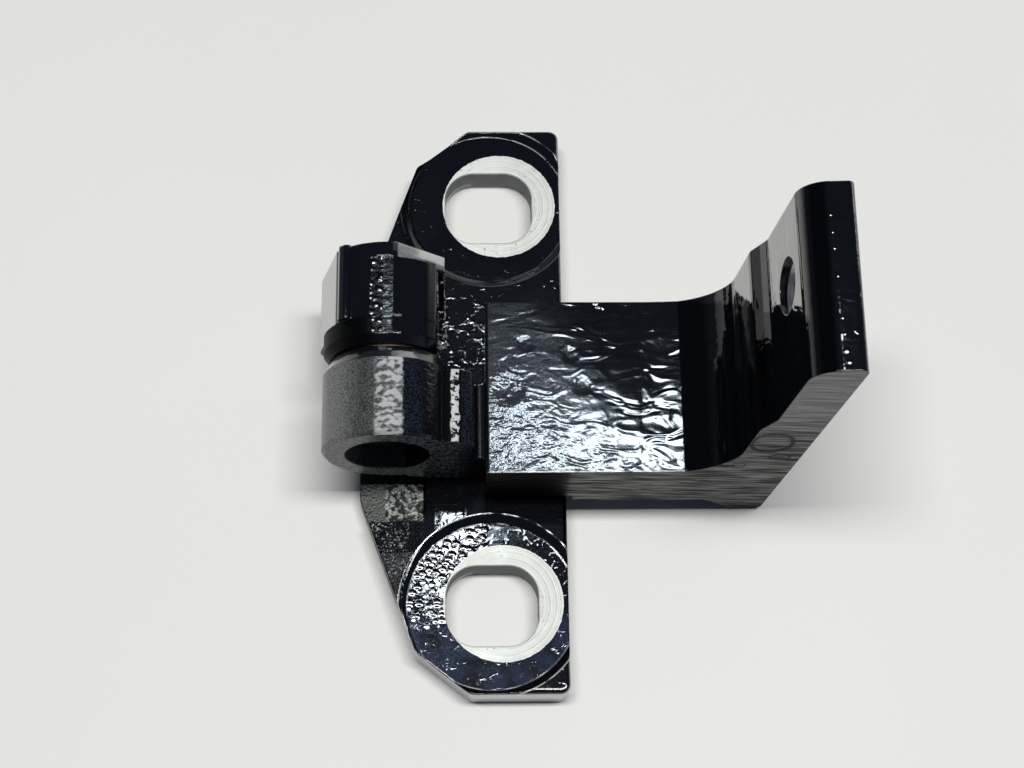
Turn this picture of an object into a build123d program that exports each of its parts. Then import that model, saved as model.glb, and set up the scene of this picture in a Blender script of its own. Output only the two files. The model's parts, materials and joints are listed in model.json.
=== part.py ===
from build123d import *
import math
import os

# A car door hinge: a tall plate that bolts to the body pillar, and an
# L-shaped arm that carries the door, turning on a pin pressed into the plate's eye.
# Millimetres. X runs from the eye towards the door flange, Y along the hinge pin,
# Z out of the pillar. The origin is on the plate's mounting face, midway between
# the two adjusting holes. The arm is drawn in its closed position.

# Plate of the pillar leaf
plate_length = 100.0        # along the pin
plate_right = 12.3          # from the hole line to the straight edge
plate_left = 21.6           # from the hole line to the edge under the eye
plate_thick = 6.7
plate_corner_r = 1.6
top_edge_r = 0.7            # rolled edge around the plate's upper face
waist_half = 17.0           # half length of the straight edge under the eye
taper_half = 43.0           # where the slanted edge meets the end corner
taper_in = 12.4             # how far left of the hole line that is
end_left = 3.6              # left end of the plate's end edge
flank_x = 10.9              # left of this line the upper face falls away
flank_drop = 1.5            # fall of that slanted flank at the edge
relief_end = 21.2           # the knuckle relief's far end, from the plate's middle
relief_depth = 2.9
relief_corner_r = 1.5

# Adjusting holes and the turned seats around them
hole_pitch = 70.8
hole_width = 15.0
hole_height = 13.4
hole_corner_r = 5.0
seat_r = 13.8
seat_wall = 1.4             # slope of the seat's edge, measured along the face
seat_depth = 1.0

# Hinge axis, eye of the plate and knuckle of the arm
axis_left = 16.6            # hinge axis, left of the hole line
axis_height = 19.0          # hinge axis above the mounting face
eye_r = 10.5
eye_top = 18.1              # far end of the eye along the pin
eye_bottom = 1.2            # its turned end face at the knuckle, above the middle
collar_length = 4.3         # turned part of the eye next to the knuckle
turn_cut = 0.06             # taken off the eye's radius over that length
collar_chamfer = 1.1
collar_cone = 1.3           # length of that chamfer along the pin
collar_neck = 4.0           # from the axis to the left side of the neck under the collar
stop_height = 1.0           # the stop bead stands this proud of the eye
stop_width = 2.3
stop_round = 0.8
stop_angle = 129.0          # around the axis, from the door side
facet_distance = 9.6        # flat on the eye's outer side, from the axis
facet_lean = 14.7           # lean of that flat
eye_back_z = 12.6           # height where the eye's outer flat ends
eye_back_r = 2.5
eye_wall = 7.9              # from the axis to the eye's wall on the arm's side
eye_corner_r = 1.5
mark_depth = 0.16           # shallow flat along the eye's crest, for marking
mark_angle = 94.0
lug_length = 2.5            # flat lug left at the eye's far end
lug_reach = 9.1             # from the axis to the lug's end
lug_cut = 9.0               # the lug's flat, from the axis
lug_angle = 50.0

# Knuckle of the arm
knuckle_bottom = 14.3       # its open end, below the middle
leaf_gap = 0.45             # between the eye and the knuckle, kept by a bush's flange
knuckle_chamfer = 1.2
knuckle_cone = 2.3          # length along the pin of the chamfer towards the eye
web_top = 25.6              # crest of the web beside the knuckle
web_crown = 0.6             # rise of that crest
web_crest_x = 6.2           # the crest, left of the hole line
web_end = 2.2               # the web's far end, below the middle
web_right = 2.8             # right end of that web, left of the hole line
web_corner_r = 1.7
web_foot_in = 6.4           # the web's lower corner, from the axis
web_step = 2.2              # the web meets the arm this far below the arm's top
web_root_r = 1.3            # cutter radius where the web meets the arm's end

# Arm and flange
arm_width = 29.2
arm_bottom = 17.6           # the arm's front cut, below the middle
arm_left = 1.0              # the arm's end, left of the hole line
arm_top = 19.9
arm_thick = 14.4
plate_clear = 0.9           # between the arm and the plate, above and beside it
end_round = 0.5
step_round = 0.7            # at the step over the plate's edge
rise_x = 24.0               # from here the arm's top rises a little towards the flange
crease_x = 30.4             # up to this crease, where the inner corner starts
crease_rise = 0.25
corner_z = 28.6             # height where the inner corner meets the flange
corner_bow = 1.5            # the inner corner's hollow, below a straight line
corner_blend_r = 6.0
heel_x = 44.8               # the flange's outer face, at the mounting plane
heel_r = 2.2
heel_foot = 4.2             # width of the foot that stands level with the plate
heel_foot_r = 1.5
flange_lean = 6.2
flange_top = 64.1
flange_root = 9.4           # thickness below the shoulder
flange_tip = 7.8            # thickness above it
shoulder_z = 39.6
shoulder_rise = 4.3
shoulder_low_r = 1.4
shoulder_high_r = 3.0
tip_inner_r = 4.8
tip_outer_r = 1.2
tip_fall = 0.4              # the top end falls this much towards the inner side
tap_r = 4.25                # core of the tapped hole for the door bolt
tap_z = 52.2
tap_y = 0.0

# Pin and what it carries
pin_r = 4.0
running_gap = 0.03          # radial, pin in bush
press_gap = 0.01            # radial, parts pressed together
face_gap = 0.05             # between faces that slide on each other
head_r = 5.6
head_length = 2.0
head_sink = 0.5             # the head lies this deep in the eye's end
head_gap = 0.3
pin_tip_chamfer = 0.6
pin_past_clip = 0.7
head_rim = 1.4              # height of the head's straight side
head_chamfer = 0.9
bush_wall = 1.0
flange_r = 7.4              # upper bush's flange, sunk in the knuckle's end
upper_flange = 1.0
lower_flange_r = 6.3
lower_flange = 1.0
counter_r = 6.8             # wide mouth of the knuckle's bore
counter_depth = 6.9
spring_rise = 0.35          # cone height of the disc spring
spring_thick = 0.45
spring_r = 6.1
washer_thick = 0.8
washer_r = 6.2
clip_thick = 0.9
clip_r = 5.7
clip_gap_angle = 70.0
groove_depth = 0.6

# Worked out from the sizes above
axis_x = -axis_left
pin_axis = Axis((axis_x, 0, axis_height), (0, 1, 0))
eye_end_y = eye_bottom
knuckle_top_y = eye_end_y - leaf_gap
knuckle_end_y = -knuckle_bottom
web_end_y = -web_end
arm_front_y = -arm_bottom
arm_back_y = arm_front_y + arm_width
arm_under = arm_top - arm_thick
over_plate = plate_thick + plate_clear
lean = math.tan(math.radians(flange_lean))


def slab(shape, low_y, high_y):
    """A flat shape drawn in X and Z, given a thickness between two places along the pin."""
    return extrude(Plane.XZ.offset(-high_y) * shape, amount=high_y - low_y)


def turned(points):
    """A ring or shaft about the hinge axis, from a closed outline of radius and Y."""
    plane = Plane(origin=(axis_x, 0, axis_height), x_dir=(1, 0, 0), z_dir=(0, 0, 1))
    return revolve(plane * make_face(Polyline(*points, close=True)), axis=pin_axis)


def polar(radius, degrees):
    """A point of the X and Z drawing at an angle around the hinge axis."""
    turn = math.radians(degrees)
    return (axis_x + radius * math.cos(turn), axis_height + radius * math.sin(turn))


def around_axis(radius):
    return Pos(axis_x, axis_height) * Circle(radius)


def corners(shape, radius, *places):
    """Rounds the corners of a flat shape that lie nearest to the given places."""
    found = [min(shape.vertices(), key=lambda v: math.dist((v.X, v.Y), p)) for p in places]
    return fillet(found, radius)


# Pillar leaf: the plate
half = plate_length / 2
outline = [
    (plate_right, -half),
    (plate_right, half),
    (-end_left, half),
    (-taper_in, taper_half),
    (-plate_left, waist_half),
    (-plate_left, -waist_half),
    (-taper_in, -taper_half),
    (-end_left, -half),
]
plate_face = make_face(Polyline(*outline, close=True))
plate_face = fillet(plate_face.vertices(), plate_corner_r)
plate = extrude(plate_face, amount=plate_thick)
plate = fillet(plate.faces().sort_by(Axis.Z)[-1].edges(), top_edge_r)

# The upper face falls away to the left of the flank line.
flank_run = plate_left - flank_x
fall = Polyline(
    (-flank_x, plate_thick),
    (-plate_left - flank_run, plate_thick - 2 * flank_drop),
    (-plate_left - flank_run, 2 * plate_thick),
    (-flank_x, 2 * plate_thick),
    close=True,
)
plate -= slab(make_face(fall), -half, half)

# A flat relief under the arm's knuckle.
relief = Pos(-plate_left, 0) * Rectangle(
    2 * flank_run, relief_end + eye_end_y + 2 * collar_cone, align=(Align.CENTER, Align.MIN)
)
relief = corners(relief, relief_corner_r, (-flank_x, 0))
plate -= Pos(0, -relief_end, plate_thick - relief_depth) * extrude(relief, amount=plate_thick)

# Turned seats and adjusting holes.
for side in (-1, 1):
    at = Pos(0, side * hole_pitch / 2, 0)
    seat_floor = plate_thick - seat_depth
    seat = at * Pos(0, 0, seat_floor) * Cone(
        seat_r, seat_r + seat_wall, seat_depth, align=(Align.CENTER, Align.CENTER, Align.MIN)
    )
    hole = RectangleRounded(hole_width, hole_height, hole_corner_r)
    plate -= seat
    plate -= at * extrude(hole, amount=plate_thick)

# Pillar leaf: the eye
lean_out = math.radians(facet_lean)
facet_dir = (-math.sin(lean_out), -math.cos(lean_out))
facet_mid = (
    axis_x - facet_distance * math.cos(lean_out),
    axis_height + facet_distance * math.sin(lean_out),
)


def on_facet(z):
    return (facet_mid[0] + (z - facet_mid[1]) * facet_dir[0] / facet_dir[1], z)


foot_top = on_facet(eye_back_z)
base = make_face(Polyline(
    (axis_x + eye_wall, plate_thick / 2),
    (axis_x + eye_wall, axis_height),
    (axis_x, axis_height),
    on_facet(axis_height),
    foot_top,
    (-plate_left + flank_drop, plate_thick / 6),
    close=True,
))
base = corners(base, eye_back_r, foot_top)
tip = polar(eye_r + stop_height, stop_angle)
bead = Rot(0, 0, stop_angle - 90) * Rectangle(stop_width, eye_r / 2, align=(Align.CENTER, Align.MAX))
bead = Pos(*tip) * bead
bead = fillet(bead.vertices().sort_by(Axis.Y)[-2:], stop_round)
outside = make_face(Polyline(
    on_facet(0),
    on_facet(axis_height + 2 * eye_r),
    (axis_x - 3 * eye_r, axis_height + 2 * eye_r),
    (axis_x - 3 * eye_r, 0),
    close=True,
))
past_wall = Pos(axis_x + eye_wall, axis_height) * Rectangle(
    eye_r, 4 * eye_r, align=(Align.MIN, Align.CENTER)
)
lug_end = Pos(axis_x + lug_reach, axis_height) * Rectangle(
    eye_r, 4 * eye_r, align=(Align.MIN, Align.CENTER)
)
lug_base = make_face(Polyline(
    (axis_x, plate_thick / 4),
    (axis_x + lug_reach, plate_thick / 4),
    (axis_x + lug_reach, axis_height),
    (axis_x, axis_height),
    close=True,
))
eye_face = around_axis(eye_r) + bead + base + lug_base - outside - lug_end
collar_top_y = eye_end_y + collar_length
eye = slab(eye_face, collar_top_y, eye_top)

# The eye's side towards the arm is milled back, except for the lug at the far end.
lug_y = eye_top - lug_length
eye -= slab(past_wall, collar_top_y - 1, lug_y)
crest = axis_height + math.sqrt(eye_r ** 2 - eye_wall ** 2)
crest_at = (axis_x + eye_wall, crest)
crest_edge = min(
    eye.edges().filter_by(Axis.Y),
    key=lambda e: math.dist((e.center().X, e.center().Z), crest_at),
)
eye = fillet(crest_edge, eye_corner_r)
above_flat = Pos(*polar(lug_cut, lug_angle)) * Rot(0, 0, lug_angle) * Rectangle(
    eye_r, 3 * eye_r, align=(Align.MIN, Align.CENTER)
)
eye -= slab(above_flat, lug_y, eye_top + 1)

# Next to the knuckle the eye is turned to a round collar, on a narrower neck.
collar_r = eye_r - turn_cut
neck = make_face(Polyline(
    (axis_x + eye_wall, plate_thick / 2),
    (axis_x + eye_wall, axis_height),
    (axis_x - collar_neck, axis_height),
    (-plate_left + flank_drop, plate_thick),
    (-plate_left + flank_drop, plate_thick / 6),
    close=True,
))
collar_face = around_axis(collar_r) + neck - past_wall
collar_face = corners(collar_face, eye_corner_r, crest_at)
eye += slab(collar_face, eye_end_y, collar_top_y)
eye -= turned([
    (collar_r - collar_chamfer, eye_end_y - 1),
    (collar_r - collar_chamfer, eye_end_y),
    (collar_r, eye_end_y + collar_cone),
    (3 * eye_r, eye_end_y + collar_cone),
    (3 * eye_r, eye_end_y - 1),
])

# A shallow flat for marking runs along the crest, from the collar's cone to the lug.
mark_cut = Pos(*polar(eye_r - mark_depth, mark_angle)) * Rot(0, 0, mark_angle) * Rectangle(
    eye_r / 4, eye_r / 2, align=(Align.MIN, Align.CENTER)
)
eye -= slab(mark_cut, eye_end_y + collar_cone, lug_y)

pillar_leaf = plate + eye
head_floor = eye_top - head_sink - head_length
pillar_leaf -= turned([
    (0, head_floor),
    (head_r + head_gap, head_floor),
    (head_r + head_gap, eye_top + 1),
    (0, eye_top + 1),
])
pillar_leaf -= turned([
    (0, eye_end_y - 1),
    (pin_r + press_gap, eye_end_y - 1),
    (pin_r + press_gap, eye_top),
    (0, eye_top),
])

# Door leaf: knuckle and web
web_foot = (axis_x + web_foot_in, over_plate)
crown_low = web_top - web_crown
crown_start = (axis_x + math.sqrt(eye_r ** 2 - (crown_low - axis_height) ** 2), crown_low)
crown_end = (-2 * web_crest_x - crown_start[0], crown_low)
step_z = arm_top - web_step
web_outline = [
    crown_end,
    (-web_right, crown_low - web_crown),
    (-web_right, step_z),
    (arm_left + 2, step_z),
    (arm_left + 2, over_plate),
    web_foot,
    polar(eye_r, -75.0),
    (axis_x, axis_height),
    polar(eye_r, 45.0),
    crown_start,
]
crown = ThreePointArc(crown_start, (-web_crest_x, web_top), crown_end)
web_face = make_face(Polyline(*web_outline) + crown)
web_face = corners(web_face, web_corner_r, (-web_right, crown_low - web_crown))
web_face = corners(web_face, web_corner_r / 2, (-web_right, step_z))
knuckle = turned([
    (0, knuckle_end_y),
    (eye_r - knuckle_chamfer / 2, knuckle_end_y),
    (eye_r, knuckle_end_y + knuckle_chamfer / 2),
    (eye_r, knuckle_top_y - knuckle_cone),
    (eye_r - knuckle_chamfer, knuckle_top_y),
    (0, knuckle_top_y),
])
door_leaf = knuckle + slab(web_face, knuckle_end_y, web_end_y)

# Door leaf: arm, heel and flange, one rolled section


def outer_x(z):
    return heel_x + z * lean


step_x = plate_right + plate_clear
foot_x = heel_x - heel_foot
arm_end = (-arm_left, arm_top)
step_low = (step_x, over_plate)
step_high = (step_x, arm_under)
foot_high = (foot_x - arm_under, arm_under)
foot_low = (foot_x, 0)
heel = (outer_x(0), 0)
tip_outer = (outer_x(flange_top), flange_top)
tip_z = flange_top - tip_fall
tip_inner = (outer_x(tip_z) - flange_tip, tip_z)
high_z = shoulder_z + shoulder_rise
shoulder_high = (outer_x(high_z) - flange_tip, high_z)
shoulder_low = (outer_x(shoulder_z) - flange_root, shoulder_z)
corner_top = (outer_x(corner_z) - flange_root, corner_z)
crease = (crease_x, arm_top + crease_rise)
rise_start = (rise_x, arm_top)
section = Polyline(
    rise_start, arm_end, (-arm_left, over_plate), step_low, step_high, foot_high, foot_low,
    heel, tip_outer, tip_inner, shoulder_high, shoulder_low, corner_top,
)

# The hollow corner between the arm and the flange, and the slight rise before it.
chord = math.dist(crease, corner_top)
corner_low = (
    (crease[0] + corner_top[0]) / 2 + corner_bow * (corner_top[1] - crease[1]) / chord,
    (crease[1] + corner_top[1]) / 2 - corner_bow * (corner_top[0] - crease[0]) / chord,
)
hollow = ThreePointArc(corner_top, corner_low, crease)
rise = TangentArc(rise_start, crease, tangent=(1, 0))
arm_face = make_face(section + hollow + rise)
arm_face = corners(arm_face, corner_blend_r, corner_top)
arm_face = corners(arm_face, shoulder_low_r, shoulder_low)
arm_face = corners(arm_face, shoulder_high_r, shoulder_high)
arm_face = corners(arm_face, tip_inner_r, tip_inner)
arm_face = corners(arm_face, tip_outer_r, tip_outer)
arm_face = corners(arm_face, heel_r, heel)
arm_face = corners(arm_face, heel_foot_r, foot_low, foot_high)
arm_face = corners(arm_face, step_round, step_low, step_high)
arm_face = corners(arm_face, end_round, arm_end)
door_leaf += slab(arm_face, arm_front_y, arm_back_y)

# The cutter that trims the web leaves its radius against the arm's end.
for low, high, side in (
    (knuckle_end_y - web_root_r, knuckle_end_y, -1),
    (web_end_y, web_end_y + web_root_r, 1),
):
    wedge_y = low if side < 0 else high
    wedge = Pos(-arm_left, (low + high) / 2) * Rectangle(
        web_root_r, web_root_r, align=(Align.MAX, Align.CENTER)
    )
    wedge -= Pos(-arm_left - web_root_r, wedge_y) * Circle(web_root_r)
    door_leaf += Pos(0, 0, over_plate) * extrude(wedge, amount=step_z - over_plate)

# The tapped hole runs square through the flange.
tap_at = (outer_x(tap_z), tap_y, tap_z)
tap_turn = math.radians(flange_lean)
tap_plane = Plane(origin=tap_at, z_dir=(math.cos(tap_turn), 0, -math.sin(tap_turn)))
door_leaf -= tap_plane * Cylinder(tap_r, 4 * flange_tip)

# Bores of the knuckle: bush seat and the wide mouth below it.
seat_bore = pin_r + running_gap + bush_wall
counter_floor = knuckle_end_y + counter_depth
flange_floor = eye_end_y - face_gap - upper_flange - press_gap
door_leaf -= turned([
    (0, knuckle_end_y - 1),
    (counter_r, knuckle_end_y - 1),
    (counter_r, counter_floor),
    (seat_bore + press_gap, counter_floor),
    (seat_bore + press_gap, flange_floor),
    (flange_r + press_gap, flange_floor),
    (flange_r + press_gap, knuckle_top_y + 1),
    (0, knuckle_top_y + 1),
])

# Bushes, pressed into the knuckle
bush_bore = pin_r + running_gap
bush_split = (knuckle_top_y + counter_floor) / 2
upper_bush = turned([
    (bush_bore, bush_split + face_gap),
    (seat_bore, bush_split + face_gap),
    (seat_bore, flange_floor + press_gap),
    (flange_r, flange_floor + press_gap),
    (flange_r, eye_end_y - face_gap),
    (bush_bore, eye_end_y - face_gap),
])
lower_bush = turned([
    (bush_bore, bush_split - face_gap),
    (seat_bore, bush_split - face_gap),
    (seat_bore, counter_floor - press_gap),
    (lower_flange_r, counter_floor - press_gap),
    (lower_flange_r, counter_floor - lower_flange),
    (bush_bore, counter_floor - lower_flange),
])

# Disc spring, washer and clip that hold the leaves together
spring_y = counter_floor - lower_flange - face_gap
ring_bore = pin_r + 2 * running_gap
disc_spring = turned([
    (ring_bore, spring_y - spring_rise),
    (spring_r, spring_y),
    (spring_r, spring_y - spring_thick),
    (ring_bore, spring_y - spring_rise - spring_thick),
])
washer_y = spring_y - spring_rise - spring_thick - press_gap
retaining_washer = turned([
    (ring_bore, washer_y - washer_thick),
    (washer_r, washer_y - washer_thick),
    (washer_r, washer_y),
    (ring_bore, washer_y),
])
clip_y = washer_y - washer_thick - press_gap
groove_r = pin_r - groove_depth
circlip = turned([
    (groove_r + press_gap, clip_y - clip_thick),
    (clip_r, clip_y - clip_thick),
    (clip_r, clip_y),
    (groove_r + press_gap, clip_y),
])
mouth = make_face(Polyline(
    (axis_x, axis_height),
    polar(2 * clip_r, -90 - clip_gap_angle / 2),
    polar(2 * clip_r, -90 + clip_gap_angle / 2),
    close=True,
))
circlip -= slab(mouth, clip_y - 2 * clip_thick, clip_y + clip_thick)

# Hinge pin
pin_tip = clip_y - clip_thick - pin_past_clip
pin_head_y = head_floor + press_gap
hinge_pin = turned([
    (0, pin_tip),
    (pin_r - pin_tip_chamfer, pin_tip),
    (pin_r, pin_tip + pin_tip_chamfer),
    (pin_r, clip_y - clip_thick - press_gap),
    (groove_r, clip_y - clip_thick - press_gap),
    (groove_r, clip_y + press_gap),
    (pin_r, clip_y + press_gap),
    (pin_r, pin_head_y),
    (head_r, pin_head_y),
    (head_r, pin_head_y + head_rim),
    (head_r - head_chamfer, pin_head_y + head_length),
    (0, pin_head_y + head_length),
])

os.makedirs("parts", exist_ok=True)
nodes = {
    "pillar_leaf": pillar_leaf,
    "door_leaf": door_leaf,
    "hinge_pin": hinge_pin,
    "upper_bush": upper_bush,
    "lower_bush": lower_bush,
    "disc_spring": disc_spring,
    "retaining_washer": retaining_washer,
    "circlip": circlip,
}
for name, shape in nodes.items():
    export_step(shape, f"parts/{name}.step")
    box = shape.bounding_box()
    print(name, len(shape.solids()), "solid(s)", [round(v, 2) for v in (*box.min, *box.max)])
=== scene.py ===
# %% [markdown]
# A car door hinge, dressed for its photograph.
# The CAD model arrives as a fixed frame: eight steel and bronze pieces on two bodies.
# They keep their shapes. This script adds what CAD leaves out: the paint and its
# orange peel, the bare turned seats, the saw marks, and the thread in the tapped hole.
# One unit is a metre, and the origin is the middle of the plate's mounting face.

import json
import math
from types import SimpleNamespace

import bmesh
import bpy
from mathutils import Matrix, Quaternion, Vector


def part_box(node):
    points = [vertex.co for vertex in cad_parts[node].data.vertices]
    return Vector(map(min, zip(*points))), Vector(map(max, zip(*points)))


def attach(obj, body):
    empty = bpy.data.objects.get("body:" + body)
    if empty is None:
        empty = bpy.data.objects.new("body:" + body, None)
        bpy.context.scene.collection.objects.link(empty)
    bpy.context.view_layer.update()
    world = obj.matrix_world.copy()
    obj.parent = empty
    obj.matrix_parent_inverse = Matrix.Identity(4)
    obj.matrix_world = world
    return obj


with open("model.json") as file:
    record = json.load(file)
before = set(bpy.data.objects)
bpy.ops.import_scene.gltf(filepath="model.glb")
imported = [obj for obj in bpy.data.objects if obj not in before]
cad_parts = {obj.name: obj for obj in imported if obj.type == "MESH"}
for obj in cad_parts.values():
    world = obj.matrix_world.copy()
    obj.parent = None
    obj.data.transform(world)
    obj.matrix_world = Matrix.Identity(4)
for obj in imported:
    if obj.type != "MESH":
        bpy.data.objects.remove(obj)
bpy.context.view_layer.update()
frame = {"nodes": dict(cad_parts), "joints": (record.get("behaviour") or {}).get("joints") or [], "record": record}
nodes = frame["nodes"]
scene = bpy.context.scene
MM = 0.001

# %% [markdown]
# The knuckle and the eye are round about the pin, so several finishes need its axis.
# It could be typed in from the drawing, but the frame knows it: the axis is where the
# door's joint is. Read from there, it stays right when the part changes.

# %% Measure the frame
joint = frame["joints"][0]
axis_x = joint["pos_m"][0] / MM
axis_z = joint["pos_m"][2] / MM
print("pin axis at", axis_x, "mm across and", axis_z, "mm up")

# %% [markdown]
# The camera was fitted to the photograph by matching the seats' circles, the knuckle's
# ends and the arm's edges. It could be turned by three angles, but those depend on
# their order. A camera's matrix holds its right, up and back directions, so three
# fitted vectors and a place are all that it needs.

# %% Camera
camera_data = bpy.data.cameras.new("camera")
camera_data.sensor_width = 36
camera_data.lens = 71.713
camera_data.clip_start = 0.01
camera_data.clip_end = 10
camera = bpy.data.objects.new("camera", camera_data)
scene.collection.objects.link(camera)
right = Vector((0.99962639, -0.01334355, 0.02385442))
up = Vector((0.00399925, 0.93474942, 0.35528515))
back = Vector((-0.02703867, -0.35505701, 0.93445355))
place = Vector((-0.00558325, -0.11873044, 0.32548449))
turn = Matrix((right, up, back)).transposed().to_4x4()
camera.matrix_world = Matrix.Translation(place) @ turn
scene.camera = camera
print("camera looks down at", round(math.degrees(math.asin(back.z)), 1), "degrees")

# %% [markdown]
# A room's light and a coat of paint are both graphs of nodes. They could be drawn in
# the node editor, but a graph of a hundred nodes is easier to read and to change as
# sums. So a small class gives each kind of node a short name. Where a number could
# stand, a socket may be passed in instead, and it is joined up.

# %% Node helpers


class Graph:
    """Short names for the nodes of one tree."""

    def __init__(self, tree):
        self.tree = tree

    def node(self, kind, settings, inputs):
        """A node with its settings, and its inputs as values or sockets to join."""
        made = self.tree.nodes.new(kind)
        for key, value in settings.items():
            setattr(made, key, value)
        for key, value in inputs.items():
            self.give(made.inputs[key], value)
        return made

    def give(self, wanted, value):
        """Joins a socket to an input, or sets the input to a value."""
        if isinstance(value, bpy.types.NodeSocket):
            self.tree.links.new(value, wanted)
        elif value is not None:
            wanted.default_value = value

    def parts(self, vector):
        """The X, Y and Z of a vector."""
        return self.node("ShaderNodeSeparateXYZ", {}, {0: vector}).outputs

    def flat(self, first, second):
        """A vector from two numbers, with a third of zero."""
        return self.node("ShaderNodeCombineXYZ", {}, {0: first, 1: second}).outputs[0]

    def scaled(self, vector, factors):
        """A vector times a factor for each direction."""
        settings = {"operation": "MULTIPLY"}
        return self.node("ShaderNodeVectorMath", settings, {0: vector, 1: factors}).outputs[0]

    def moved(self, vector, shift):
        """A vector plus a shift."""
        settings = {"operation": "ADD"}
        return self.node("ShaderNodeVectorMath", settings, {0: vector, 1: shift}).outputs[0]

    def length(self, vector):
        """The length of a vector."""
        settings = {"operation": "LENGTH"}
        return self.node("ShaderNodeVectorMath", settings, {0: vector}).outputs["Value"]

    def maths(self, operation, first, second=None):
        """One step of arithmetic."""
        settings = {"operation": operation}
        return self.node("ShaderNodeMath", settings, {0: first, 1: second}).outputs[0]

    def plus(self, first, *others):
        """The sum of all."""
        for other in others:
            first = self.maths("ADD", first, other)
        return first

    def times(self, first, *others):
        """The product of all."""
        for other in others:
            first = self.maths("MULTIPLY", first, other)
        return first


print("node helpers", [name for name in vars(Graph) if not name.startswith("_")])

# %% [markdown]
# A mask is a number that is 1 inside a place, 0 outside it, and rises smoothly between.
# Masks could be drawn by hand as vertex colours, but those are only as fine as the mesh.
# Masks worked out from coordinates are sharp at any size. The product of two is the
# overlap of their places, and the larger of two joins the places, so a few short names
# are enough to say where a finish lies. Colours are then laid on layer by layer.

# %% Masks and layers


class Masks(Graph):
    """A tree with short names for masks, and for layers that are laid by a mask."""

    def both(self, *masks):
        """Where every mask is 1. A plain number among them makes the result fainter."""
        return self.times(*masks)

    def most(self, first, *others):
        """Where any mask is 1: the largest of all."""
        for other in others:
            first = self.maths("MAXIMUM", first, other)
        return first

    def without(self, mask):
        """Everywhere but the mask's place."""
        return self.maths("SUBTRACT", 1.0, mask)

    def step(self, value, start, end, low=0.0, high=1.0):
        """Low before start, high after end, and a smooth rise between."""
        settings = {"interpolation_type": "SMOOTHSTEP"}
        inputs = {"Value": value, 1: start, 2: end, 3: low, 4: high}
        return self.node("ShaderNodeMapRange", settings, inputs).outputs[0]

    def near(self, value, middle, start, end):
        """A mask by the distance from a middle: 0 beyond start and 1 within end."""
        away = self.maths("ABSOLUTE", self.maths("SUBTRACT", value, middle))
        return self.step(away, start, end)

    def blend(self, factor, first, second):
        """First where the factor is 0 and second where it is 1, for numbers."""
        inputs = {0: factor, 2: first, 3: second}
        return self.node("ShaderNodeMix", {"data_type": "FLOAT"}, inputs).outputs[0]

    def paint(self, factor, first, second):
        """First where the factor is 0 and second where it is 1, for colours."""
        inputs = {0: factor, 6: first, 7: second}
        return self.node("ShaderNodeMix", {"data_type": "RGBA"}, inputs).outputs[2]


print("mask helpers", [name for name in vars(Masks) if not name.startswith("_")])

# %% [markdown]
# Black gloss paint is a dark mirror: nearly all that shows on it is what it reflects.
# A bright room would turn it grey, so the room is dim and faintly blue, a little
# lighter at its horizon. One low bright patch to the side gives a long glint on faces
# that lean that way. A photograph of a room could be wrapped round instead, but then
# its brightest spots couldn't be chosen. The backdrop is pale, but only the camera
# sees it, so it isn't mirrored.

# %% Room
BACKDROP = (0.80, 0.81, 0.80, 1)
HORIZON = (0.10, 0.115, 0.14, 1)
CEILING = (0.026, 0.036, 0.062, 1)
SUNNY_SIDE = (2.8, 2.95, 2.9, 1)
scene.view_settings.view_transform = "Standard"
world = bpy.data.worlds.new("room")
scene.world = world
world.use_nodes = True
room = Masks(world.node_tree)
direction = room.node("ShaderNodeTexCoord", {}, {}).outputs["Generated"]
east, north, aloft = room.parts(direction)
shade = room.paint(room.step(aloft, 0.10, 0.42), HORIZON, CEILING)
beside = room.times(north, room.step(east, 0.02, 0.12))
low_down = room.both(room.step(aloft, 0.24, 0.16), room.step(beside, 0.38, 0.44))
shade = room.paint(low_down, shade, SUNNY_SIDE)
seen = room.node("ShaderNodeLightPath", {}, {}).outputs["Is Camera Ray"]
room.give(room.tree.nodes["Background"].inputs["Color"], room.paint(seen, shade, BACKDROP))
print("room", world.name, "with", len(room.tree.nodes), "nodes")

# %% [markdown]
# Three bluish panes, like parts of a window, stand where the hinge's flat tops mirror
# them into the camera. A long warm lamp overhead lights the table. It stands a little
# aside, where the flats don't mirror it, or they would turn white.
# Point lamps would do for the table, but gloss paint mirrors a lamp's own outline, and
# only an area lamp has straight edges. Each lies level along X before it is turned.

# %% Lamps
LAMPS_AWAY = 1.2
LAMPS_AIM = Vector((0.01, 0, 0.01))
PANE_BLUE = (0.76, 0.89, 1.0)
WARM_WHITE = (1.0, 0.985, 0.955)


def lamp(name, direction, width, height, watts, colour, turn=0):
    """A soft panel that faces the hinge from a direction, with a turn in degrees."""
    data = bpy.data.lights.new(name, "AREA")
    data.shape = "RECTANGLE"
    data.size = width
    data.size_y = height
    data.energy = watts
    data.color = colour
    made = bpy.data.objects.new(name, data)
    scene.collection.objects.link(made)
    away = Vector(direction).normalized()
    level = (Vector((1, 0, 0)) - away * away.x).normalized()
    facing = Matrix((level, away.cross(level), away)).transposed().to_quaternion()
    made.location = away * LAMPS_AWAY + LAMPS_AIM
    made.rotation_mode = "QUATERNION"
    made.rotation_quaternion = facing @ Quaternion((0, 0, 1), math.radians(turn))
    return made


upper_pane = lamp("upper_pane", (0.054, 0.312, 0.946), 0.108, 0.034, 0.38, PANE_BLUE, turn=-10)
lower_pane = lamp("lower_pane", (-0.013, 0.268, 0.965), 0.026, 0.084, 0.25, PANE_BLUE, turn=-25)
wide_pane = lamp("wide_pane", (-0.195, 0.320, 0.930), 0.300, 0.150, 0.8, PANE_BLUE)
lamp("overhead", (0.03, 0.025, 1.0), 0.90, 0.15, 14.2, WARM_WHITE)

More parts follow.
